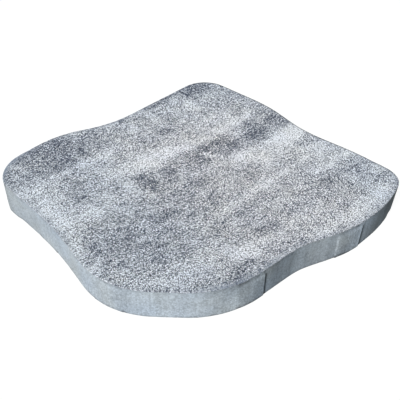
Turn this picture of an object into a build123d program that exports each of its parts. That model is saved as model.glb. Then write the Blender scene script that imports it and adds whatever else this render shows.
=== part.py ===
from build123d import *
from math import atan2, degrees
import os

# Cast concrete stepping stone: one flat stone with a wavy, uneven outline of four lobes,
# upright walls, and low spacer lugs on the walls that keep neighbouring stones apart.
# Seen from above, +X runs from the left lobe to the right lobe and +Y to the back lobe.
# The origin is under the middle of the stone, on its underside. Sizes are in millimetres.

thickness = 45
arris_radius = 1            # rounding of the top edge
lug_length = 45             # spacer lug, along the wall
lug_proud = 1               # how far a lug stands out of the wall
faint_lug_proud = 0.4       # the same for the two faint lugs between the left and front lobes
lug_top_below_tread = 7     # height of plain wall above a lug
lug_run_out = 1.5           # sloped top of a lug, in which it dies into the wall

# Corners of the outline, anticlockwise from the right nose: x, y and rounding radius.
outline_corners = [
    (309, -19, 42),     # right nose, front
    (246, 50, 280),     # right nose, back
    (176, 112, 230),    # waist between the right and back lobes
    (124, 200, 290),    # back lobe's right side
    (4, 317, 46),       # back nose
    (-155, 124, 190),   # waist between the back and left lobes
    (-237, 89, 150),    # left lobe's shoulder
    (-301, 2, 72),      # left nose, back
    (-292, -48, 57),    # left nose, front
    (-195, -146, 600),  # long hollow between the left and front lobes
    (-114, -261, 118),  # front lobe, left
    (36, -265, 133),    # front lobe, right
    (133, -178, 115),   # waist between the front and right lobes
    (246, -125, 260),   # right lobe's front side
]

# Middles of the lugs, as shares of the way round the outline, anticlockwise from the waist
# between the front and right lobes: two lugs on each of the four sides.
lug_places = [0.0215, 0.17, 0.27, 0.43, 0.56, 0.923]
faint_lug_places = [0.724, 0.812]

# Outline: straight runs joined by tangent arcs, moved so that the stone's middle is the origin
with BuildLine() as rim:
    FilletPolyline(
        *[(x, y) for x, y, radius in outline_corners],
        radius=[radius for x, y, radius in outline_corners],
        close=True,
    )
middle = rim.line.bounding_box().center()
with BuildSketch(Plane(origin=(-middle.X, -middle.Y, 0))) as outline:
    add(rim.line)
    make_face()


def lug_location(place):
    """Where a lug stands on the wall, with its X axis along the wall."""
    wall = outline.sketch.face().outer_wire()
    along = wall.tangent_at(place)
    return Location(wall.position_at(place), (0, 0, degrees(atan2(along.Y, along.X))))


def lug_plans(places, proud):
    """Plans of lugs: squares astride the wall, cut off by the outline grown by what they stand out."""
    with BuildSketch() as grown_outline:
        add(outline.sketch)
        offset(amount=proud)
    with BuildSketch() as plans:
        with Locations(*[lug_location(place) for place in places]):
            Rectangle(lug_length, lug_length)
        add(grown_outline.sketch, mode=Mode.INTERSECT)
    return plans.sketch


lug_straight_height = thickness - lug_top_below_tread - lug_run_out

with BuildPart() as stepping_stone:
    extrude(outline.sketch, amount=thickness)
    fillet(stepping_stone.edges().group_by(Axis.Z)[-1], radius=arris_radius)
    for places, proud in ((lug_places, lug_proud), (faint_lug_places, faint_lug_proud)):
        plans = lug_plans(places, proud)
        extrude(plans, amount=lug_straight_height)
        # the slope goes on a little way inside the stone, so that it meets the wall cleanly
        with BuildSketch(Plane.XY.offset(lug_straight_height)):
            add(plans)
        extrude(amount=1.5 * lug_run_out, taper=degrees(atan2(proud, lug_run_out)))

stepping_stone.part.label = "stepping_stone"

os.makedirs("parts", exist_ok=True)
export_step(stepping_stone.part, "parts/stepping_stone.step")
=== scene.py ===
import math

import bmesh
import bpy
import numpy as np
from mathutils import Matrix, Vector, noise
from mathutils.bvhtree import BVHTree
from mathutils.geometry import delaunay_2d_cdt
from mathutils.kdtree import KDTree


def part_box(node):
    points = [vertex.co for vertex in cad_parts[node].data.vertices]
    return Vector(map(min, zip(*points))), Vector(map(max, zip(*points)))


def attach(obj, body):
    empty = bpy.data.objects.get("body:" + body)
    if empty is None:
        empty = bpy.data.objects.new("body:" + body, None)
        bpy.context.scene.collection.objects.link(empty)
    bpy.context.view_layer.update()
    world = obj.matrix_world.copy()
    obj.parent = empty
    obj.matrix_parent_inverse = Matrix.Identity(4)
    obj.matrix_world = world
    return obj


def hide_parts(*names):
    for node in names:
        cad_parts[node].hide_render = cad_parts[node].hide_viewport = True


# A cast concrete stepping stone with a grainy two-tone face. Metres, row frame, +Z up.

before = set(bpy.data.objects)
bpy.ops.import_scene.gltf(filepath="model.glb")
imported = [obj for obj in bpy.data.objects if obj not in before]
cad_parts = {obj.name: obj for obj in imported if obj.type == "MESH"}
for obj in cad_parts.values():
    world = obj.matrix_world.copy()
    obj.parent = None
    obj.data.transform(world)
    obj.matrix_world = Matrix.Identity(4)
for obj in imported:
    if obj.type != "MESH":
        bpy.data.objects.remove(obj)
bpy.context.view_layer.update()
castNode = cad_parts["stepping_stone"]
footCorner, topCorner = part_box("stepping_stone")
stoneTop = topCorner.z
mm = 0.001
print("frame loaded, stone is %.0f mm thick" % (stoneTop / mm))


# camera

view = {
    "place": (-0.22, -732.5, 526.9),  # mm
    "downTilt": 37.36,  # degrees below the horizon
    "roll": 0.84,
    "lens": 50.4,
    "sensor": 36.0,
}


def addCamera(opts):
    data = bpy.data.cameras.new("camera")
    data.lens = opts["lens"]
    data.sensor_width = opts["sensor"]
    data.clip_start = 0.01
    camera = bpy.data.objects.new("camera", data)
    tilt = Matrix.Rotation(math.radians(90 - opts["downTilt"]), 4, "X")
    roll = Matrix.Rotation(math.radians(opts["roll"]), 4, "Z")
    camera.matrix_world = Matrix.Translation(Vector(opts["place"]) * mm) @ tilt @ roll
    bpy.context.scene.collection.objects.link(camera)
    bpy.context.scene.camera = camera


addCamera(view)
print("camera set")


# outline, read from the CAD solid

cast = {
    "outlineHeight": 40.0,  # mm, above the lugs and below the rounded edge
    "rimPitch": 2.1,  # mm between the columns round the wall
    "scanPitch": 0.25,  # mm, for finding where the lugs start
    "facetEase": 4.0,  # mm, smooths the flats of the CAD facets
    "lugScanHeight": 16.0,
    "lugStep": 0.25,  # mm, what stands out less is no lug
    "fullLug": 0.7,  # mm, what stands out less is a faint lug
    "lugSlope": 1.2,  # mm, run of a lug's end face
    "endClear": 1.2,  # times that run, kept free of other columns
    "wornEnd": (47, -264, 32),  # x, y, reach (mm) of the lug end that dies away into the wall
    "trimmedEnd": (85.35, -235.4, 5.0),  # the same for the lug end that is cut back to its real place
}


def sectionLoop(node, height):
    # ordered points where the solid is cut at a height
    bm = bmesh.new()
    bm.from_mesh(node.data)
    bmesh.ops.remove_doubles(bm, verts=bm.verts, dist=1e-6)
    cut = bmesh.ops.bisect_plane(
        bm, geom=bm.verts[:] + bm.edges[:] + bm.faces[:], plane_co=(0, 0, height), plane_no=(0, 0, 1)
    )
    cutEdges = {e for e in cut["geom_cut"] if isinstance(e, bmesh.types.BMEdge)}
    start = min(cutEdges, key=lambda e: e.index)
    vert = start.verts[0]
    edge = start
    points = []
    while edge is not None:
        points.append(vert.co.xy[:])
        cutEdges.discard(edge)
        vert = edge.other_vert(vert)
        edge = next((e for e in vert.link_edges if e in cutEdges), None)
    bm.free()
    points = np.array(points)
    following = np.roll(points, -1, 0)
    turn = np.sum(points[:, 0] * following[:, 1] - following[:, 0] * points[:, 1])
    return points if turn > 0 else points[::-1]


def loopAt(points, along):
    closed = np.vstack([points, points[:1]])
    steps = np.hypot(*np.diff(closed, axis=0).T)
    run = np.concatenate([[0.0], np.cumsum(steps)])
    along = np.mod(along, run[-1])
    return np.column_stack([np.interp(along, run, closed[:, 0]), np.interp(along, run, closed[:, 1])])


def loopLength(points):
    return float(np.sum(np.hypot(*(np.roll(points, -1, 0) - points).T)))


def easedLoop(points, pitch, reach):
    # even spacing, then a running average that rounds the facets
    count = int(loopLength(points) / pitch)
    even = loopAt(points, np.arange(count) * loopLength(points) / count)
    half = int(3 * reach / pitch)
    shares = np.exp(-0.5 * (np.arange(-half, half + 1) * pitch / reach) ** 2)
    shares /= shares.sum()
    return sum(share * np.roll(even, shift, 0) for share, shift in zip(shares, range(-half, half + 1)))


def outwardOf(points):
    tangent = np.roll(points, -1, 0) - np.roll(points, 1, 0)
    tangent /= np.hypot(*tangent.T)[:, None]
    return np.column_stack([tangent[:, 1], -tangent[:, 0]])


def standOut(tree, point, outward, height):
    # how far the solid stands out of the plain wall here
    reach = 10 * mm
    start = Vector((*(point + outward * reach), height))
    hit = tree.ray_cast(start, Vector((*(-outward), 0.0)))
    return reach - hit[3] if hit[0] is not None else 0.0


def trimmedOff(points):
    # which of the points lie on the lug end that is cut back
    x, y, reach = cast["trimmedEnd"]
    return np.hypot(points[:, 0] - x * mm, points[:, 1] - y * mm) < reach * mm


def wallColumns(opts):
    tree = BVHTree.FromObject(castNode, bpy.context.evaluated_depsgraph_get())
    plainWall = sectionLoop(castNode, opts["outlineHeight"] * mm)
    fine = easedLoop(plainWall, opts["scanPitch"] * mm, opts["facetEase"] * mm)
    fineOut = outwardOf(fine)
    proud = np.array([standOut(tree, p, n, opts["lugScanHeight"] * mm) for p, n in zip(fine, fineOut)])
    proud[trimmedOff(fine)] = 0.0
    total = loopLength(fine)
    scan = total / len(fine)

    def endsOf(step, leeOnly=False):
        inside = proud > step * mm
        change = inside.astype(int) - np.roll(inside, -1)
        return np.flatnonzero(change > 0 if leeOnly else change != 0) * scan + scan / 2

    def toNearest(places, ends):
        return np.abs((places[:, None] - ends + total / 2) % total - total / 2).min(1)

    ends = endsOf(opts["lugStep"])
    count = int(total / (opts["rimPitch"] * mm))
    even = np.arange(count) * total / count
    slope = opts["lugSlope"] * mm
    along = np.sort(np.concatenate([
        even[toNearest(even, ends) > opts["endClear"] * slope], ends - slope / 2, ends + slope / 2
    ]))
    where = (along / scan).astype(int) % len(fine)
    lugs = {
        "on": proud[where] > opts["fullLug"] * mm,
        "toLeeEnd": toNearest(along, endsOf(opts["fullLug"], True)) / mm,
        "toEnd": toNearest(along, ends) / mm,
    }
    return tree, loopAt(fine, along), fineOut[where], along, lugs


tree, rim, rimOut, rimAlong, rimLugs = wallColumns(cast)
print("outline read, %d columns" % len(rim))


# patches and noise

def patchTone(x, y, patches, crispness=1.0):
    # sum of leaning ovals, each fading outwards
    tone = np.zeros(len(x))
    for cx, cy, halfLong, halfWide, lean, amount in patches:
        c, s = math.cos(math.radians(lean)), math.sin(math.radians(lean))
        dx, dy = x - cx * mm, y - cy * mm
        along, across = (dx * c + dy * s) / (halfLong * mm), (dy * c - dx * s) / (halfWide * mm)
        tone += amount * np.exp(-0.5 * (along ** 2 + across ** 2) ** crispness)
    return tone


def noiseOn(a, b, scale, seed):
    # smooth noise over two measures, about -1 to 1
    sa, sb = np.broadcast_to(scale, 2).tolist()
    return np.array([noise.noise((p * sa, q * sb, seed)) for p, q in zip(a.tolist(), b.tolist())])


def noiseOver(co, scale, seed=0.0):
    # the same over points in space
    sx, sy, sz = np.broadcast_to(scale, 3).tolist()
    return np.array([noise.noise((x * sx + seed, y * sy, z * sz)) for x, y, z in co.tolist()])


# streaks of paler and darker mix in the face

streaks = {
    "lean": 43.0,  # degrees from +X, the way the mix was drawn out
    "strength": 1.92,
    "raggedness": 7.0,  # mm
    "raggedScale": 45,  # noise scales are to the metre, along and across
    "crispness": 1.7,  # of the patches' edges
    "drawn": 0.14,
    "drawnScale": (11, 58),
    "cloudy": 0.14,
    "cloudyScale": (60, 95),
    "crossLean": -55.0,  # degrees, the mix was dragged across beyond the long pale band
    "crossFrom": 50.0,  # mm
    "crossRun": 30.0,
    "crossScale": (22, 75),
    # x, y, half length, half width (mm), lean (degrees), tone
    "patches": [
        (-80, 0, 38, 20, 43, 0.17),  # long pale band
        (-25, 45, 40, 13, 43, 0.14),
        (28, 92, 18, 11, 43, 0.12),
        (60, 130, 36, 9, 43, 0.13),
        (5, 130, 26, 16, 43, 0.07),
        (-125, -35, 20, 14, 43, 0.09),
        (140, 75, 32, 17, 46, 0.30),  # second pale band
        (78, 20, 32, 15, 40, 0.16),
        (185, 42, 32, 10, 43, 0.11),
        (165, 15, 16, 7, 43, 0.07),
        (205, 0, 42, 6, 45, 0.12),
        (-20, 182, 17, 9, -60, 0.19),  # flecks across the bands
        (-86, 138, 22, 6, -52, 0.12),
        (-115, 92, 30, 7, -80, 0.10),
        (-125, 45, 16, 8, -50, 0.07),
        (-60, 160, 14, 6, -55, 0.05),
        (-180, -12, 55, 6, 43, 0.10),  # thin pale streaks
        (80, -78, 85, 6, 45, 0.09),
        (95, -60, 60, 5, 45, 0.04),
        (-205, -115, 50, 22, -52, 0.10),  # pale rims
        (-180, -162, 24, 10, -52, 0.12),
        (262, -78, 36, 13, 52, 0.11),
        (215, -132, 28, 15, 35, 0.14),
        (55, -203, 55, 9, 33, 0.10),
        (135, -140, 35, 9, 35, 0.06),
        (-45, -262, 40, 8, 0, 0.06),
        (5, -76, 12, 10, 90, 0.11),
        (-98, -82, 14, 7, -45, 0.08),
        (25, -20, 8, 8, 0, 0.07),
        (14, 18, 13, 7, -20, 0.22),
        (62, 95, 10, 10, 0, 0.12),
        (-38, 66, 14, 8, 43, 0.09),
        (-75, -84, 16, 8, -30, 0.12),
        (-130, -120, 10, 22, 0, 0.09),
        (262, -12, 12, 10, 0, 0.12),
        (226, -37, 9, 7, 0, 0.11),
        (238, 24, 12, 8, 43, 0.09),
        (165, -166, 14, 7, 20, 0.10),
        (108, 150, 18, 7, 20, 0.09),
        (42, 138, 8, 18, 0, 0.07),
        (162, 112, 10, 8, 0, 0.10),
        (-52, 205, 8, 16, -30, 0.09),
        (60, -212, 14, 7, 33, 0.08),
        (12, -200, 12, 6, 33, 0.06),
        (-180, 30, 12, 8, 43, 0.05),
        (-120, 38, 10, 8, 43, 0.06),
        (100, -2, 16, 10, 60, 0.13),
        (165, 38, 30, 8, 35, 0.07),
        (156, 108, 14, 10, 43, 0.10),
        (232, 38, 8, 12, 0, 0.12),
        (-150, -138, 14, 18, 0, 0.14),
        (-125, -168, 10, 8, 0, 0.10),
        (-28, -155, 10, 8, -40, 0.12),
        (-98, -68, 9, 12, 0, 0.12),
        (-150, -86, 16, 7, 25, 0.09),
        (-35, 160, 12, 10, -40, 0.10),
        (42, 150, 10, 10, 0, 0.13),
        (-2, 103, 10, 8, 0, 0.12),
        (-90, 68, 8, 12, 0, 0.10),
        (-152, 20, 8, 18, 0, 0.08),
        (-75, -165, 9, 20, 0, 0.09),
        (118, 26, 34, 12, 43, 0.08),
        (75, 0, 12, 10, 43, 0.05),
        (205, 25, 26, 14, 43, 0.05),
        (-140, 2, 20, 8, 30, 0.08),
        (-125, 100, 9, 12, 0, 0.07),
        (90, 108, 7, 12, 0, 0.05),
        (135, -165, 22, 9, 30, 0.06),
        (25, 108, 12, 8, 43, 0.06),
        (-5, -222, 18, 7, 45, 0.10),
        (140, 125, 8, 8, 0, 0.09),
        (178, -12, 14, 9, 60, 0.08),
        (238, -5, 9, 9, 0, 0.08),
        (-84, 190, 10, 7, 40, 0.10),
        (-155, -206, 12, 7, -50, 0.14),
        (-252, -97, 10, 7, -30, 0.14),
        (-215, -128, 9, 6, -40, 0.11),
        (-190, -166, 12, 5, -50, 0.07),
        (-133, -240, 10, 6, -50, 0.09),
        (-8, 252, 18, 6, 20, 0.07),
        (255, -55, 16, 8, 50, 0.11),
        (-35, -230, 20, 9, 40, 0.10),
        (50, -218, 32, 7, 33, 0.08),
        (-250, 25, 42, 28, 43, -0.15),  # dark left lobe
        (-212, -12, 24, 20, 43, -0.14),
        (-180, 60, 34, 24, 30, -0.06),
        (-262, -48, 22, 22, 0, -0.04),
        (-5, 262, 30, 20, 0, -0.15),  # dark back lobe
        (-32, 232, 20, 14, 50, -0.14),
        (-72, 198, 28, 9, 52, -0.15),
        (128, 140, 30, 16, -50, -0.15),  # dark band between the pale ones
        (92, 92, 24, 18, 70, -0.17),
        (32, 42, 38, 15, 35, -0.15),
        (0, 8, 24, 11, 35, -0.11),
        (-80, -60, 25, 13, -50, -0.17),
        (-45, -30, 16, 12, 43, -0.08),
        (-60, 87, 12, 10, 0, -0.12),
        (-75, -190, 55, 38, 43, -0.08),  # dull front left
        (-125, -170, 30, 22, 43, -0.05),
        (-30, -222, 30, 12, 30, -0.08),
        (-65, -246, 20, 8, 45, -0.07),
        (48, -242, 26, 12, 50, -0.16),
        (60, -135, 11, 8, 0, -0.10),
        (28, -166, 14, 8, 0, -0.08),
        (92, -158, 20, 8, 30, -0.11),
        (200, -45, 55, 18, 43, -0.07),  # dull right
        (248, -12, 20, 16, 0, -0.07),
        (5, -115, 30, 20, 43, -0.06),
        (-160, -95, 22, 12, 43, -0.05),
        (68, 205, 24, 12, -50, -0.05),
        (5, 155, 14, 10, 43, -0.07),
        (-2, -62, 22, 13, 20, -0.12),
        (20, -88, 8, 14, 0, -0.10),
        (-172, -104, 14, 12, 0, -0.08),
        (-185, -74, 12, 12, 0, -0.07),
        (-96, 172, 26, 8, 50, -0.12),
        (-135, 125, 16, 8, 40, -0.07),
        (80, -108, 16, 9, 43, -0.07),
        (28, -222, 10, 7, 20, -0.10),
        (-62, -216, 12, 9, 0, -0.06),
        (-130, -210, 10, 10, 0, -0.07),
        (-185, 18, 10, 12, 0, -0.05),
        (45, 15, 8, 10, 0, -0.08),
        (258, -42, 12, 8, 43, -0.06),
        (290, -55, 10, 14, 0, -0.06),
        (8, 42, 36, 6, 43, -0.04),
        (-190, 28, 20, 16, 30, -0.08),
        (-245, -20, 18, 14, 0, -0.05),
        (-210, -80, 10, 8, 0, -0.08),
        (-192, -115, 12, 8, -50, -0.09),
        (-25, -92, 30, 12, 20, -0.06),
        (-45, -140, 18, 8, 40, -0.11),
        (-115, 60, 8, 10, 0, -0.10),
        (75, 88, 8, 8, 0, -0.05),
        (92, 122, 14, 10, 40, -0.06),
        (130, -110, 14, 10, 20, -0.07),
        (5, -268, 14, 5, 0, -0.12),
        (120, -195, 16, 8, 40, -0.08),
        (0, 222, 25, 10, 0, -0.05),
        (72, 225, 8, 7, -45, -0.12),
        (10, 52, 14, 6, 43, -0.08),
        (105, 112, 22, 9, 43, -0.04),
        (-10, 32, 22, 6, 43, -0.06),
        (-38, -38, 8, 16, 0, -0.06),
        (288, -58, 7, 10, -30, -0.09),
        (256, -42, 14, 6, 45, -0.06),
        (-72, 60, 8, 8, 0, -0.07),
        (-50, -75, 9, 16, -30, -0.05),
        (-130, -150, 14, 6, 40, -0.06),
        (-128, 25, 9, 14, 20, -0.07),
    ],
}


def streakTone(x, y, opts):
    # how much the share of pale grains rises or falls
    reach = opts["raggedness"] * mm
    px = x + reach * noiseOn(x, y, opts["raggedScale"], 11.0)
    py = y + reach * noiseOn(x, y, opts["raggedScale"], 17.0)
    tone = patchTone(px, py, opts["patches"], opts["crispness"])

    def drawnOut(lean, scale, seed):
        c, s = math.cos(math.radians(lean)), math.sin(math.radians(lean))
        return noiseOn(x * c + y * s, y * c - x * s, scale, seed)

    c, s = math.cos(math.radians(opts["lean"])), math.sin(math.radians(opts["lean"]))
    crossed = np.clip(((y * c - x * s) / mm - opts["crossFrom"]) / opts["crossRun"], 0, 1)
    drawn = (1 - crossed) * drawnOut(opts["lean"], opts["drawnScale"], 3.1)
    drawn += crossed * drawnOut(opts["crossLean"], opts["crossScale"], 5.3)
    cloudy = drawnOut(opts["lean"], opts["cloudyScale"], 7.7)
    return opts["strength"] * tone + opts["drawn"] * drawn + opts["cloudy"] * cloudy


# the mix is a little redder in the middle and bluer at the lobes
tint = {
    # x, y, half length, half width (mm), lean (degrees), warmth
    "patches": [
        (60, -40, 110, 150, 0, 0.9),
        (20, 90, 70, 50, 50, 0.25),
        (-110, 40, 60, 50, 0, 0.35),
        (100, -190, 80, 30, 35, 0.35),
        (205, -100, 40, 40, 0, 0.35),
        (-240, -10, 50, 60, 40, -0.45),
        (-110, -200, 90, 60, 0, -0.40),
        (5, 250, 40, 30, 0, -0.25),
        (95, 85, 22, 30, 0, -0.45),
        (275, -45, 40, 60, 0, -0.45),
        (55, -255, 40, 20, 0, -0.30),
    ],
}


# the casting

relief = {
    "treadPitch": 1.9,  # mm between the face's points
    "underPitch": 7.0,
    "wallPitch": 2.2,
    "jitter": 0.28,  # share of the pitch
    "treadMargin": 1.3,  # mm, between those points and the ring round them
    "underMargin": 4.0,
    "edgeRound": 0.9,  # mm
    "edgeWaver": 0.25,  # share of the rounding
    "edgeTurns": (90, 67, 45, 22, 0),  # degrees, rings over the rounded edge
    "chip": 1.2,  # mm, most that a chip adds to the rounding
    "chipScale": 70,  # noise scales are to the metre
    "chipFineScale": 230,
    "chipFrom": 0.25,  # noise above which the edge is chipped
    "footRound": 0.5,
    "footWaver": 0.5,
    "treadInset": 3.2,
    "underInset": 6.0,
    "wallTopGap": 0.4,  # mm, between the deepest chip and the wall's top row
    "wallFoot": 1.6,  # mm, height of the wall's bottom row
    "grainDepth": 0.34,
    "grainScale": 260,
    "lumpDepth": 0.30,
    "lumpScale": (70, 130, 90),
    "waveDepth": 0.25,
    "waveScale": (9, 17, 9),
    "pitDepth": 0.7,
    "pitScale": 120,
    "pitFrom": 0.42,  # noise above which there is a pit
    "wallDepth": 0.16,
    "wallDragScale": (330, 330, 10),
    "wallBlotScale": 45,
    "edgeShare": 0.35,  # of the face's relief, on the rounded edge
    "wallShare": 0.5,
    # x, y, reach, how far the foot draws in under the rim (mm)
    "footShifts": [(258, -108, 42, 2.4), (294, -60, 18, 1.8), (-276, -82, 15, -1.8)],
    "seed": 7,
}

# kinds of point on the casting
onFace, onEdge, onWall, onUnder = range(4)


def latticeInside(loop, pitch, margin, jitter, seed):
    # hexagonal grid of points inside the loop, each nudged a little
    rng = np.random.default_rng(seed)
    low, high = loop.min(0), loop.max(0)
    rows = np.arange(low[1], high[1], pitch * math.sqrt(3) / 2)
    cols = np.arange(low[0], high[0], pitch)
    gx, gy = np.meshgrid(cols, rows)
    gx = gx + (np.arange(len(rows)) % 2)[:, None] * pitch / 2
    points = np.column_stack([gx.ravel(), gy.ravel()])
    points += rng.uniform(-jitter, jitter, points.shape) * pitch
    order = np.argsort(np.arctan2(loop[:, 1], loop[:, 0]))
    angles = np.arctan2(loop[order, 1], loop[order, 0])
    radii = np.hypot(*loop[order].T)
    limit = np.interp(np.arctan2(points[:, 1], points[:, 0]), angles, radii, period=2 * math.pi)
    return points[np.hypot(*points.T) < limit - margin]


def fillLoop(loop, inner):
    # triangles over a loop of points and the free points inside it
    count = len(loop)
    points = [Vector(p) for p in np.vstack([loop, inner]).tolist()]
    border = [(i, (i + 1) % count) for i in range(count)]
    return delaunay_2d_cdt(points, border, [], 1, 1e-9)[2]


def buildCast(opts):
    count = len(rim)
    x, y = rim.T
    chipNoise = noiseOn(x, y, opts["chipScale"], 1.3)
    fineChip = noiseOn(x, y, opts["chipFineScale"], 5.3)
    rounding = opts["edgeRound"] * mm * (1 + opts["edgeWaver"] * fineChip)
    chipped = np.clip(chipNoise - opts["chipFrom"], 0, 1) / (1 - opts["chipFrom"])
    rounding += opts["chip"] * mm * chipped * (0.6 + 0.4 * fineChip)
    foot = opts["footRound"] * mm * (1 + opts["footWaver"] * fineChip)

    undercut = np.zeros(count)
    for cx, cy, reach, most in opts["footShifts"]:
        away = np.hypot(x - cx * mm, y - cy * mm) / (reach * mm)
        undercut += most * mm * np.exp(-0.5 * away ** 4)
    rings, facing, kinds = [], [], []

    def addRing(inset, height, up, kindHere):
        inset = inset + undercut * (1 - np.broadcast_to(height, count) / stoneTop)
        flat = rim - rimOut * inset[:, None]
        rings.append(np.column_stack([flat, np.broadcast_to(height, count)]))
        side = math.sqrt(max(0.0, 1 - up * up))
        facing.append(np.column_stack([rimOut * side, np.full(count, up)]))
        kinds.append(np.full(count, kindHere))

    addRing(opts["treadInset"] * mm, stoneTop, 1.0, onFace)
    for turn in opts["edgeTurns"]:
        c, s = math.cos(math.radians(turn)), math.sin(math.radians(turn))
        addRing(rounding * (1 - c), stoneTop - rounding * (1 - s), s, onEdge)
    wornX, wornY, wornReach = cast["wornEnd"]
    wornAway = np.clip(np.hypot(x - wornX * mm, y - wornY * mm) / (wornReach * mm), 0, 1)
    wallTop = stoneTop - rounding.max() - opts["wallTopGap"] * mm
    wallFoot = opts["wallFoot"] * mm
    rows = int((wallTop - wallFoot) / (opts["wallPitch"] * mm))
    for height in np.linspace(wallTop, wallFoot, rows):
        out = np.array([standOut(tree, p, n, height) for p, n in zip(rim, rimOut)])
        out[out < cast["lugStep"] * mm] = 0.0
        out[trimmedOff(rim)] = 0.0
        out *= wornAway
        addRing(-out, height, 0.0, onWall)
    lugFoot = np.where(out > 0, out, 0.0)
    addRing(-lugFoot, foot, 0.0, onWall)
    addRing(foot - lugFoot, 0.0, -1.0, onUnder)
    addRing(opts["underInset"] * mm, 0.0, -1.0, onUnder)

    jitter, seed = opts["jitter"], opts["seed"]
    tread = latticeInside(
        rings[0][:, :2], opts["treadPitch"] * mm, opts["treadMargin"] * mm, jitter, seed
    )
    under = latticeInside(
        rings[-1][:, :2], opts["underPitch"] * mm, opts["underMargin"] * mm, jitter, seed + 1
    )
    ringVerts = np.vstack(rings)
    base = len(ringVerts)
    co = np.vstack([
        ringVerts,
        np.column_stack([tread, np.full(len(tread), stoneTop)]),
        np.column_stack([under, np.zeros(len(under))]),
    ])
    normal = np.vstack([facing[i] for i in range(len(rings))] + [
        np.tile([0.0, 0.0, 1.0], (len(tread), 1)), np.tile([0.0, 0.0, -1.0], (len(under), 1))
    ])
    kind = np.concatenate(kinds + [np.full(len(tread), onFace), np.full(len(under), onUnder)])

    faces = []
    for ring in range(len(rings) - 1):
        a, b = ring * count, (ring + 1) * count
        faces += [(a + i, b + i, b + (i + 1) % count, a + (i + 1) % count) for i in range(count)]
    for tri in fillLoop(rings[0][:, :2], tread):
        faces.append([i if i < count else i - count + base for i in tri])
    lastRing = base - count
    underBase = base + len(tread)
    for tri in fillLoop(rings[-1][:, :2], under):
        faces.append([i + lastRing if i < count else i - count + underBase for i in reversed(tri)])
    return co, normal, kind, faces


def carve(co, normal, kind, opts):
    # relief goes inwards only, so the stone keeps its size
    lean = math.radians(streaks["lean"])
    turned = np.column_stack([
        co[:, 0] * math.cos(lean) + co[:, 1] * math.sin(lean),
        co[:, 1] * math.cos(lean) - co[:, 0] * math.sin(lean),
        co[:, 2],
    ])
    rng = np.random.default_rng(opts["seed"] + 2)
    grain = 0.6 * noiseOver(co, opts["grainScale"]) + 0.4 * rng.uniform(-1, 1, len(co))
    lump = noiseOver(turned, opts["lumpScale"], 4.0)
    wave = noiseOver(turned, opts["waveScale"], 9.0)
    pitFrom = opts["pitFrom"]
    pit = np.clip(noiseOver(co, opts["pitScale"], 21.0) - pitFrom, 0, 1) / (1 - pitFrom)
    face = (
        opts["grainDepth"] * (0.5 - 0.5 * grain)
        + opts["lumpDepth"] * (0.5 - 0.5 * lump)
        + opts["waveDepth"] * (0.5 - 0.5 * wave)
        + opts["pitDepth"] * pit
    )
    drag = noiseOver(co, opts["wallDragScale"], 2.0)
    blot = noiseOver(co, opts["wallBlotScale"], 6.0)
    wall = opts["wallDepth"] * (1 - 0.5 * drag - 0.5 * blot) + 0.5 * opts["pitDepth"] * pit
    edge = opts["edgeShare"] * face
    depth = np.select([kind == onFace, kind == onEdge], [face, edge], opts["wallShare"] * wall)
    return co - normal * (depth * mm)[:, None], face


# where the face's grains are smeared over at the rim
smear = {
    "reach": 5.0,  # mm in from the rim
    "overall": 0.12,
    "ragged": 0.9,
    "raggedScale": 110,
    # x, y, reach (mm), share
    "patches": [
        (-297, -20, 34, 0.90),
        (20, -279, 20, 0.55),
        (75, -246, 36, 0.38),
        (120, -205, 40, 0.18),
        (240, -132, 50, 0.14),
        (292, -40, 40, 0.25),
        (-215, -140, 60, 0.15),
        (-160, 112, 60, 0.25),
    ],
}


def rimSmear(co, kind, opts):
    tree = KDTree(len(rim))
    for i, (x, y) in enumerate(rim.tolist()):
        tree.insert((x, y, 0.0), i)
    tree.balance()
    share = np.zeros(len(co))
    for i in np.flatnonzero(kind <= onEdge).tolist():
        x, y, z = co[i].tolist()
        toRim = tree.find((x, y, 0.0))[2] / mm
        if toRim > 4 * opts["reach"]:
            continue
        scale = opts["raggedScale"]
        ragged = 1 + opts["ragged"] * noise.noise((x * scale, y * scale, 4.0))
        here = opts["overall"] + sum(
            most * math.exp(-0.5 * (math.hypot(x / mm - cx, y / mm - cy) / reach) ** 2)
            for cx, cy, reach, most in opts["patches"]
        )
        share[i] = min(1.0, here * ragged) * math.exp(-0.5 * (toRim / opts["reach"]) ** 2)
    return share


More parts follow.
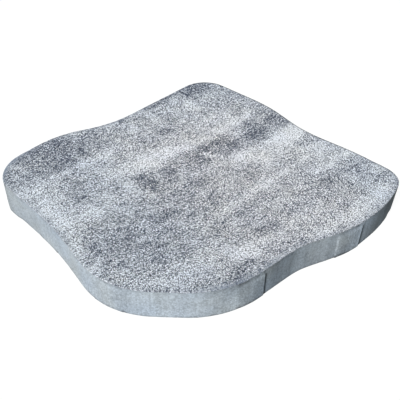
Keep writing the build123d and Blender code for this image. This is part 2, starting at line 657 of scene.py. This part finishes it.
# stains, dull places, painted shade and painted highlights, each a share of darkening
grimeAndShade = {
    "foot": 0.45,  # line along the bottom edge
    "footReach": 1.9,  # mm up
    "rimFront": 0.10,  # painted shade on the rounded top edge, at the front
    "rimBack": 0.95,
    "rimBackAzimuth": 58.0,  # degrees from +X, the side turned from the key light, where the painted shade on the edge is deepest
    "underRim": 0.48,  # ragged marks below the top edge
    "underRimAt": (42.4, 1.4),  # height, reach (mm)
    "lugTop": 38.0,  # mm
    "aboveLug": 0.14,
    "lugFace": 0.20,
    # painted shadow along the foot of a lug
    "lugFoot": 0.25,
    "lugFootReach": 3.0,
    "crease": 0.92,  # painted shadow beside a lug's lee end, the end turned from the light
    "creaseAt": (1.3, 1.4),  # from the end, reach (mm)
    "lugBrow": 0.35,  # painted highlight, along a lug's lee end
    "lugBrowAt": (0.8, 1.6),
    "cornerShade": 0.55,  # painted shade at a lug's foot corners
    "cornerShadeReach": (1.6, 1.8),  # mm along and up
    "drips": 0.22,  # upright stains, right of the front lobe
    "dripsFrom": 20,  # mm, x where they start
    "dripsRun": 40,
    "spotScale": (160, 0.18),  # noise scales are to the metre along and to the millimetre up
    "blotScale": (60, 0.05),
    "fineScale": (420, 0.42),
    "dripScale": (95, 0.012),
    "plainHollow": 0.45,  # mm, depth of the face that stays unshaded
    "hollowShade": 0.25,  # painted shade for each mm deeper
    # partly the concrete's own dull and pale places, partly painted shade and painted light, most of all
    # beside the lugs and on the right lobe
    # x, y, height, reach along, reach up (mm), share
    "patches": [
        (-290, -62, 22, 14, 60, 0.22),
        (-250, -108, 22, 45, 60, 0.08),
        (-271, -86, 22, 9, 60, 0.03),
        (-90, -272, 22, 22, 60, 0.09),
        (-146, -232, 22, 12, 60, -0.08),
        (-50, -279, 22, 20, 60, -0.16),
        (3, -278, 22, 18, 60, -0.06),
        (45, -264, 42, 22, 3.5, 0.16),
        (78, -242, 16, 10, 22, -0.06),
        (66, -252, 6, 10, 8, 0.08),
        (294, -52, 26, 20, 60, 0.42),
        (272, -94, 16, 14, 60, 0.20),
        (226.3, -141, 14, 2, 30, 0.50),
        (232, -136.5, 22, 2.5, 60, -0.14),
        (220, -145.5, 12, 2, 30, -0.42),
        (206, -156, 22, 2, 60, 0.10),
        (195, -162, 28, 7, 30, 0.20),
        (179, -171, 22, 4, 60, 0.15),
        (146, -187, 22, 6, 60, 0.09),
        (106, -218, 22, 8, 60, 0.18),
        (77.5, -243, 20, 3, 40, -0.16),
        (59.5, -256.5, 14, 2, 20, 0.15),
        (51, -262, 30, 4, 10, 0.20),
        (42, -266.5, 12, 5.5, 12, -0.36),
        (46.5, -264.7, 10, 1.8, 14, -0.20),
        (51.5, -261.5, 8, 2.5, 9, -0.12),
        (63, -254, 34, 1.5, 8, -0.14),
        (75.5, -244, 34, 1.5, 8, -0.10),
        (81, -239.3, 20, 1.2, 40, 0.16),
        (97, -225, 22, 9, 60, 0.10),
        (-175, -178, 22, 20, 60, -0.05),
        (30, -272, 22, 12, 60, 0.02),
        (170, -176, 22, 16, 60, 0.07),
        (207, -153, 22, 9, 60, 0.06),
        (218, -146, 18, 6, 30, -0.26),
        (146, -188, 22, 20, 60, 0.07),
        (192, -164, 5, 5, 6, 0.18),
        (251, -119, 22, 11, 60, 0.32),
        (275, -88, 36, 14, 12, 0.35),
    ],
}


def wallGrimeAndShade(co, kind, opts):
    # columns repeat ring by ring, so the first points of the mesh are the wall's
    count = len(rim)
    rings = int(np.flatnonzero(kind == onUnder)[0] / count)
    dark = np.zeros(len(co))
    wall = slice(0, rings * count)
    z = co[wall, 2] / mm
    along = np.tile(rimAlong, rings)
    onLug = np.tile(rimLugs["on"], rings)
    toEnd = np.tile(rimLugs["toEnd"], rings)
    toLeeEnd = np.tile(rimLugs["toLeeEnd"], rings)
    spots = noiseOn(along, z, opts["spotScale"], 2.0)
    blots = noiseOn(along, z, opts["blotScale"], 8.0)
    fine = noiseOn(along, z, opts["fineScale"], 5.0)
    drips = noiseOn(along, z, opts["dripScale"], 14.0)

    def near(value, middle, half):
        return np.exp(-0.5 * ((value - middle) / half) ** 2)

    mark = opts["foot"] * near(z, 0.0, opts["footReach"]) * np.clip(0.6 + 1.2 * spots, 0, 1.4)
    mark += opts["underRim"] * near(z, *opts["underRimAt"]) * np.clip(0.2 + 1.6 * blots + spots, 0, 1.6)
    toLugTop = opts["lugTop"] - z
    mark += opts["aboveLug"] * onLug * np.clip((0.5 - toLugTop) / 1.5, 0, 1)
    mark += opts["lugFace"] * onLug * (toLugTop > 0) * fine * 2
    # painted shadow beside each lug's lee end
    mark += opts["crease"] * ~onLug * (toLugTop > 1) * near(toLeeEnd, *opts["creaseAt"])
    # painted highlight along each lug's lee end
    mark -= opts["lugBrow"] * onLug * (toLugTop > 1) * near(toLeeEnd, *opts["lugBrowAt"])
    # painted shadow along the lugs' feet and at their foot corners
    mark += opts["lugFoot"] * onLug * near(z, 0.0, opts["lugFootReach"])
    cornerShadeAlong, cornerShadeUp = opts["cornerShadeReach"]
    mark += opts["cornerShade"] * near(toEnd, 0.0, cornerShadeAlong) * near(z, 1.0, cornerShadeUp)
    x, y = co[wall, 0] / mm, co[wall, 1] / mm
    mark += opts["drips"] * drips * np.clip((x - opts["dripsFrom"]) / opts["dripsRun"], 0, 1) * (y < 0)
    for cx, cy, height, reach, reachUp, share in opts["patches"]:
        mark += share * near(np.hypot(x - cx, y - cy), 0.0, reach) * near(z, height, reachUp)
    dark[wall] = mark
    return dark


def paintedShadeOfFace(depth, kind, opts):
    # painted shade: hollows of the face lie darker, and so does the rounded edge, most of all at the back,
    # which is turned from the key light
    mark = np.where(kind == onFace, opts["hollowShade"] * (depth - opts["plainHollow"]), 0.0)
    azimuth = math.radians(opts["rimBackAzimuth"])
    back = np.clip(rimOut @ np.array([math.cos(azimuth), math.sin(azimuth)]), 0, 1)
    dark = opts["rimFront"] + (opts["rimBack"] - opts["rimFront"]) * back
    edge = kind == onEdge
    mark[edge] = np.tile(dark, np.count_nonzero(edge) // len(rim))
    return mark


def makeStone(opts):
    co, normal, kind, faces = buildCast(opts)
    co, depth = carve(co, normal, kind, opts)
    mesh = bpy.data.meshes.new("stepping_stone_cast")
    mesh.from_pydata(co.tolist(), [], faces)
    mesh.validate()
    bm = bmesh.new()
    bm.from_mesh(mesh)
    bmesh.ops.recalc_face_normals(bm, faces=bm.faces[:])
    bm.to_mesh(mesh)
    bm.free()
    mesh.polygons.foreach_set("use_smooth", [True] * len(mesh.polygons))

    def paint(name, values):
        layer = mesh.attributes.new(name, "FLOAT", "POINT")
        layer.data.foreach_set("value", np.asarray(values, np.float32))

    paint("streak", streakTone(co[:, 0], co[:, 1], streaks))
    paint("tint", patchTone(co[:, 0], co[:, 1], tint["patches"]))
    paint("face", np.where(kind <= onEdge, 1.0, 0.0))
    paint("paintedShadeOnFace", paintedShadeOfFace(depth, kind, grimeAndShade))
    paint("smear", rimSmear(co, kind, smear))
    paint("grimeAndShade", wallGrimeAndShade(co, kind, grimeAndShade))
    stone = bpy.data.objects.new("stepping_stone_cast", mesh)
    bpy.context.scene.collection.objects.link(stone)
    return stone


stone = makeStone(relief)
triangles = sum(len(p.vertices) - 2 for p in stone.data.polygons)
print("stone cast, %d triangles" % triangles)


# concrete

class Nodes:
    # small helper that keeps the node code short
    def __init__(self, material):
        material.use_nodes = True
        self.tree = material.node_tree
        self.tree.nodes.clear()

    def add(self, kind, inputs=None, **props):
        node = self.tree.nodes.new(kind)
        for name, value in props.items():
            setattr(node, name, value)
        for name, value in (inputs or {}).items():
            if isinstance(value, bpy.types.NodeSocket):
                self.tree.links.new(value, node.inputs[name])
            else:
                node.inputs[name].default_value = value
        return node

    def math(self, operation, a, b=None, clamp=False):
        node = self.add("ShaderNodeMath", {0: a}, operation=operation, use_clamp=clamp)
        if b is not None:
            if isinstance(b, bpy.types.NodeSocket):
                self.tree.links.new(b, node.inputs[1])
            else:
                node.inputs[1].default_value = b
        return node.outputs[0]

    def mix(self, factor, a, b):
        node = self.add("ShaderNodeMix", data_type="RGBA")
        for socket, value in zip((node.inputs[0], node.inputs[6], node.inputs[7]), (factor, a, b)):
            if isinstance(value, bpy.types.NodeSocket):
                self.tree.links.new(value, socket)
            else:
                socket.default_value = value
        return node.outputs[2]


finish = {
    "paleShare": 0.585,  # of the face's grains, before the streaks
    "grainScale": 900.0,  # cells to the metre, half way back
    "grainGrowth": 0.9,  # to the metre, coarser to the back
    "fineScale": 1500.0,
    "grainEdge": 0.08,  # softness between pale and dark
    "darkGrain": (0.088, 0.102, 0.138),
    "paleGrain": (0.870, 0.897, 0.940),
    "warmGrain": (0.890, 0.905, 0.910),
    "grainWarmScale": 22.0,
    "warmMix": (1.046, 1.0, 0.996),
    "coolMix": (0.990, 1.0, 1.034),
    "fineContrast": 1.2,
    "gapScale": 450.0,  # dark gaps between the larger grains, to the metre
    "gapJitter": 0.8,
    "gapMiddle": 0.44,  # of a cell's radius
    "gapContrast": 3.3,
    "brightest": 1.14,  # limits of a grain's own shade
    "dimmest": 0.05,
    "combed": (0.4, 1.2),  # fine lines along the streaks, at the right and left
    "combScale": (60.0, 500.0, 1.0),
    "combTurn": 2.5,  # to the metre, how fast they change from left to right
    "smearColor": (0.265, 0.300, 0.365),
    "wallColor": (0.402, 0.456, 0.519),
    "warmWallColor": (0.424, 0.461, 0.487),
    "wallWarmScale": 16.0,
    "wallLevel": 0.775,  # shade before the specks and lines
    "wallSpeck": 0.46,  # sandy texture of the wall
    "wallSpeckScale": 620.0,
    "wallLines": 0.42,
    "wallLineScale": (380.0, 380.0, 13.0),
    "wallMottle": 0.45,
    "wallMottleScale": 38.0,
    "roughness": 0.93,
    "specular": 0.25,
    "bump": 0.6,
    "bumpDepth": 0.0006,  # m
}


def concreteMaterial(opts):
    material = bpy.data.materials.new("concrete_two_tone")
    n = Nodes(material)
    where = n.add("ShaderNodeTexCoord").outputs["Object"]

    def painted(name):
        return n.add("ShaderNodeAttribute", attribute_name=name).outputs["Fac"]

    def cells(scale, vector):
        cell = n.add("ShaderNodeTexVoronoi", {"Vector": vector, "Scale": scale})
        return n.add("ShaderNodeSeparateColor", {0: cell.outputs["Color"]}).outputs[0]

    def clouds(scale, detail=2.0, vector=None):
        return n.add(
            "ShaderNodeTexNoise", {"Vector": vector or where, "Scale": scale, "Detail": detail}
        ).outputs["Fac"]

    # pale and dark grains, the pale ones thicker where the streaks are
    turned = n.add("ShaderNodeMapping", {
        "Vector": where, "Rotation": (0.0, 0.0, -math.radians(streaks["lean"])),
    }).outputs[0]
    growth = opts["grainGrowth"]
    axes = n.add("ShaderNodeSeparateXYZ", {0: where}).outputs
    factor = n.math("EXPONENT", n.math("MULTIPLY", axes[1], -growth))
    grown = n.add("ShaderNodeCombineXYZ", {
        0: n.math("MULTIPLY", axes[0], factor), 1: n.math("DIVIDE", factor, -growth), 2: axes[2],
    }).outputs[0]
    coarse = cells(opts["grainScale"], grown)
    fine = cells(opts["fineScale"], grown)
    combing = n.add("ShaderNodeMapping", {"Vector": turned, "Scale": opts["combScale"]}).outputs[0]
    combRight, combLeft = opts["combed"]
    leftness = n.math("SUBTRACT", 0.5, n.math("MULTIPLY", axes[0], opts["combTurn"]), clamp=True)
    comb = n.math("ADD", n.math("MULTIPLY", leftness, combLeft - combRight), combRight)
    combed = n.math("MULTIPLY", n.math("SUBTRACT", clouds(1.0, 2.0, combing), 0.5), comb)
    share = n.math("ADD", n.math("ADD", painted("streak"), combed), opts["paleShare"])
    edge = opts["grainEdge"]
    pale = n.math("ADD", n.math("SUBTRACT", coarse, 1.0), share)
    pale = n.math("ADD", n.math("DIVIDE", pale, 2 * edge), 0.5, clamp=True)
    warmth = clouds(opts["grainWarmScale"])
    warmth = n.math("MULTIPLY", n.math("SUBTRACT", warmth, 0.35), 3.0, clamp=True)
    paleColor = n.mix(warmth, (*opts["paleGrain"], 1.0), (*opts["warmGrain"], 1.0))
    grain = n.mix(pale, (*opts["darkGrain"], 1.0), paleColor)
    mixTint = n.mix(painted("tint"), (*opts["coolMix"], 1.0), (*opts["warmMix"], 1.0))
    grain = n.add("ShaderNodeVectorMath", {0: grain, 1: mixTint}, operation="MULTIPLY").outputs[0]
    flicker = n.math("SUBTRACT", fine, 0.5)
    flicker = n.math("ADD", n.math("MULTIPLY", flicker, opts["fineContrast"]), 1.0)
    gaps = n.add("ShaderNodeTexVoronoi", {
        "Vector": grown, "Scale": opts["gapScale"], "Randomness": opts["gapJitter"],
    }, voronoi_dimensions="2D")
    gaps = n.math("SUBTRACT", gaps.outputs["Distance"], opts["gapMiddle"])
    flicker = n.math("SUBTRACT", flicker, n.math("MULTIPLY", gaps, opts["gapContrast"]))
    flicker = n.math("MAXIMUM", n.math("MINIMUM", flicker, opts["brightest"]), opts["dimmest"])
    # painted shade in the face's hollows and on the rounded edge
    faceShade = n.math("MULTIPLY", flicker, n.math("SUBTRACT", 1.0, painted("paintedShadeOnFace")))

    # plain wall with faint drag lines, blots, grime and painted shade
    drag = n.add("ShaderNodeMapping", {"Vector": where, "Scale": opts["wallLineScale"]}).outputs[0]
    lines = clouds(1.0, 3.0, drag)
    speck = cells(opts["wallSpeckScale"], where)
    mottle = n.math("MULTIPLY", clouds(opts["wallMottleScale"], 4.0), opts["wallMottle"])
    wallShade = n.math("ADD", n.math("MULTIPLY", lines, opts["wallLines"]), mottle)
    wallShade = n.math("ADD", wallShade, n.math("MULTIPLY", speck, opts["wallSpeck"]))
    level = opts["wallLevel"] - 0.5 * (opts["wallLines"] + opts["wallSpeck"])
    wallShade = n.math("ADD", wallShade, level)
    # the wall's grime, and its painted shade and painted highlights, darken or lighten it
    wallShade = n.math("MULTIPLY", wallShade, n.math("SUBTRACT", 1.0, painted("grimeAndShade")))

    face = painted("face")
    smeared = painted("smear")
    grain = n.mix(smeared, grain, (*opts["smearColor"], 1.0))
    faceShade = n.math("ADD", n.math("MULTIPLY", faceShade, n.math("SUBTRACT", 1.0, smeared)), smeared)
    wallWarmth = clouds(opts["wallWarmScale"])
    wallWarmth = n.math("MULTIPLY", n.math("SUBTRACT", wallWarmth, 0.38), 4.0, clamp=True)
    wallColor = n.mix(wallWarmth, (*opts["wallColor"], 1.0), (*opts["warmWallColor"], 1.0))
    color = n.mix(face, wallColor, grain)
    wallShade = n.math("MULTIPLY", wallShade, n.math("SUBTRACT", 1.0, face))
    shade = n.math("ADD", n.math("MULTIPLY", faceShade, face), wallShade)
    shaded = n.add("ShaderNodeVectorMath", {0: color, "Scale": shade}, operation="SCALE").outputs[0]

    bumpHeight = n.math("ADD", n.math("MULTIPLY", fine, 0.5), n.math("MULTIPLY", coarse, 0.5))
    bumpHeight = n.math("ADD", n.math("MULTIPLY", bumpHeight, face), n.math("MULTIPLY", lines, 0.15))
    bump = n.add("ShaderNodeBump", {
        "Height": bumpHeight, "Strength": opts["bump"], "Distance": opts["bumpDepth"],
    })
    surface = n.add("ShaderNodeBsdfPrincipled", {
        "Base Color": shaded,
        "Roughness": opts["roughness"],
        "Specular IOR Level": opts["specular"],
        "Normal": bump.outputs[0],
    })
    n.add("ShaderNodeOutputMaterial", {"Surface": surface.outputs[0]})
    return material


stone.data.materials.append(concreteMaterial(finish))
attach(stone, "root")
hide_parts("stepping_stone")
print("concrete finished")


# floor, backdrop and light

studio = {
    "floorSize": 8.0,  # m across
    "floorSquares": 24,
    "floorDrop": 0.0002,  # m below the stone
    "floorColor": (0.10, 0.105, 0.105),
    "floorGlow": 0.93,  # what the camera sees on top of the floor's own light
    "keyPower": 4.0,
    "keyAzimuth": -122.0,  # degrees from +X
    "keyHeight": 39.0,  # degrees above the floor
    "keySoftness": 16.0,
    "skyColor": (0.76, 1.0, 1.10),
    "skyPower": 0.17,
}


def seenDirectly(n):
    # 1 for the camera's rays and for those that it sends off a mirror or through glass
    rays = n.add("ShaderNodeLightPath")
    seen = n.math("MAXIMUM", rays.outputs["Is Camera Ray"], rays.outputs["Is Glossy Ray"])
    return n.math("MAXIMUM", seen, rays.outputs["Is Transmission Ray"])


def addFloor(opts):
    half = opts["floorSize"] / 2
    squares = opts["floorSquares"]
    bm = bmesh.new()
    bmesh.ops.create_grid(bm, x_segments=squares, y_segments=squares, size=half)
    for vert in bm.verts:
        vert.co.z = -opts["floorDrop"]
    mesh = bpy.data.meshes.new("studio_floor")
    bm.to_mesh(mesh)
    bm.free()
    floor = bpy.data.objects.new("studio_floor", mesh)
    bpy.context.scene.collection.objects.link(floor)
    material = bpy.data.materials.new("studio_floor")
    n = Nodes(material)
    glowing = n.math("MULTIPLY", seenDirectly(n), opts["floorGlow"])
    glow = n.add("ShaderNodeEmission", {"Strength": glowing})
    paint = n.add("ShaderNodeBsdfDiffuse", {"Color": (*opts["floorColor"], 1.0)})
    both = n.add("ShaderNodeAddShader", {0: paint.outputs[0], 1: glow.outputs[0]})
    n.add("ShaderNodeOutputMaterial", {"Surface": both.outputs[0]})
    mesh.materials.append(material)


def addKey(opts):
    data = bpy.data.lights.new("key", "SUN")
    data.energy = opts["keyPower"]
    data.angle = math.radians(opts["keySoftness"])
    key = bpy.data.objects.new("key", data)
    azimuth, height = math.radians(opts["keyAzimuth"]), math.radians(opts["keyHeight"])
    toLamp = Vector((
        math.cos(azimuth) * math.cos(height), math.sin(azimuth) * math.cos(height), math.sin(height)
    ))
    key.rotation_euler = toLamp.to_track_quat("Z", "Y").to_euler()
    bpy.context.scene.collection.objects.link(key)


def addSky(opts):
    world = bpy.data.worlds.new("sky")
    bpy.context.scene.world = world
    n = Nodes(world)
    fill = n.add("ShaderNodeBackground", {"Color": (*opts["skyColor"], 1.0), "Strength": opts["skyPower"]})
    white = n.add("ShaderNodeBackground", {"Color": (1.0, 1.0, 1.0, 1.0), "Strength": 1.0})
    mixed = n.add("ShaderNodeMixShader", {0: seenDirectly(n), 1: fill.outputs[0], 2: white.outputs[0]})
    n.add("ShaderNodeOutputWorld", {"Surface": mixed.outputs[0]})


addFloor(studio)
addKey(studio)
addSky(studio)
bpy.context.scene.view_settings.view_transform = "Standard"
print("studio lit")
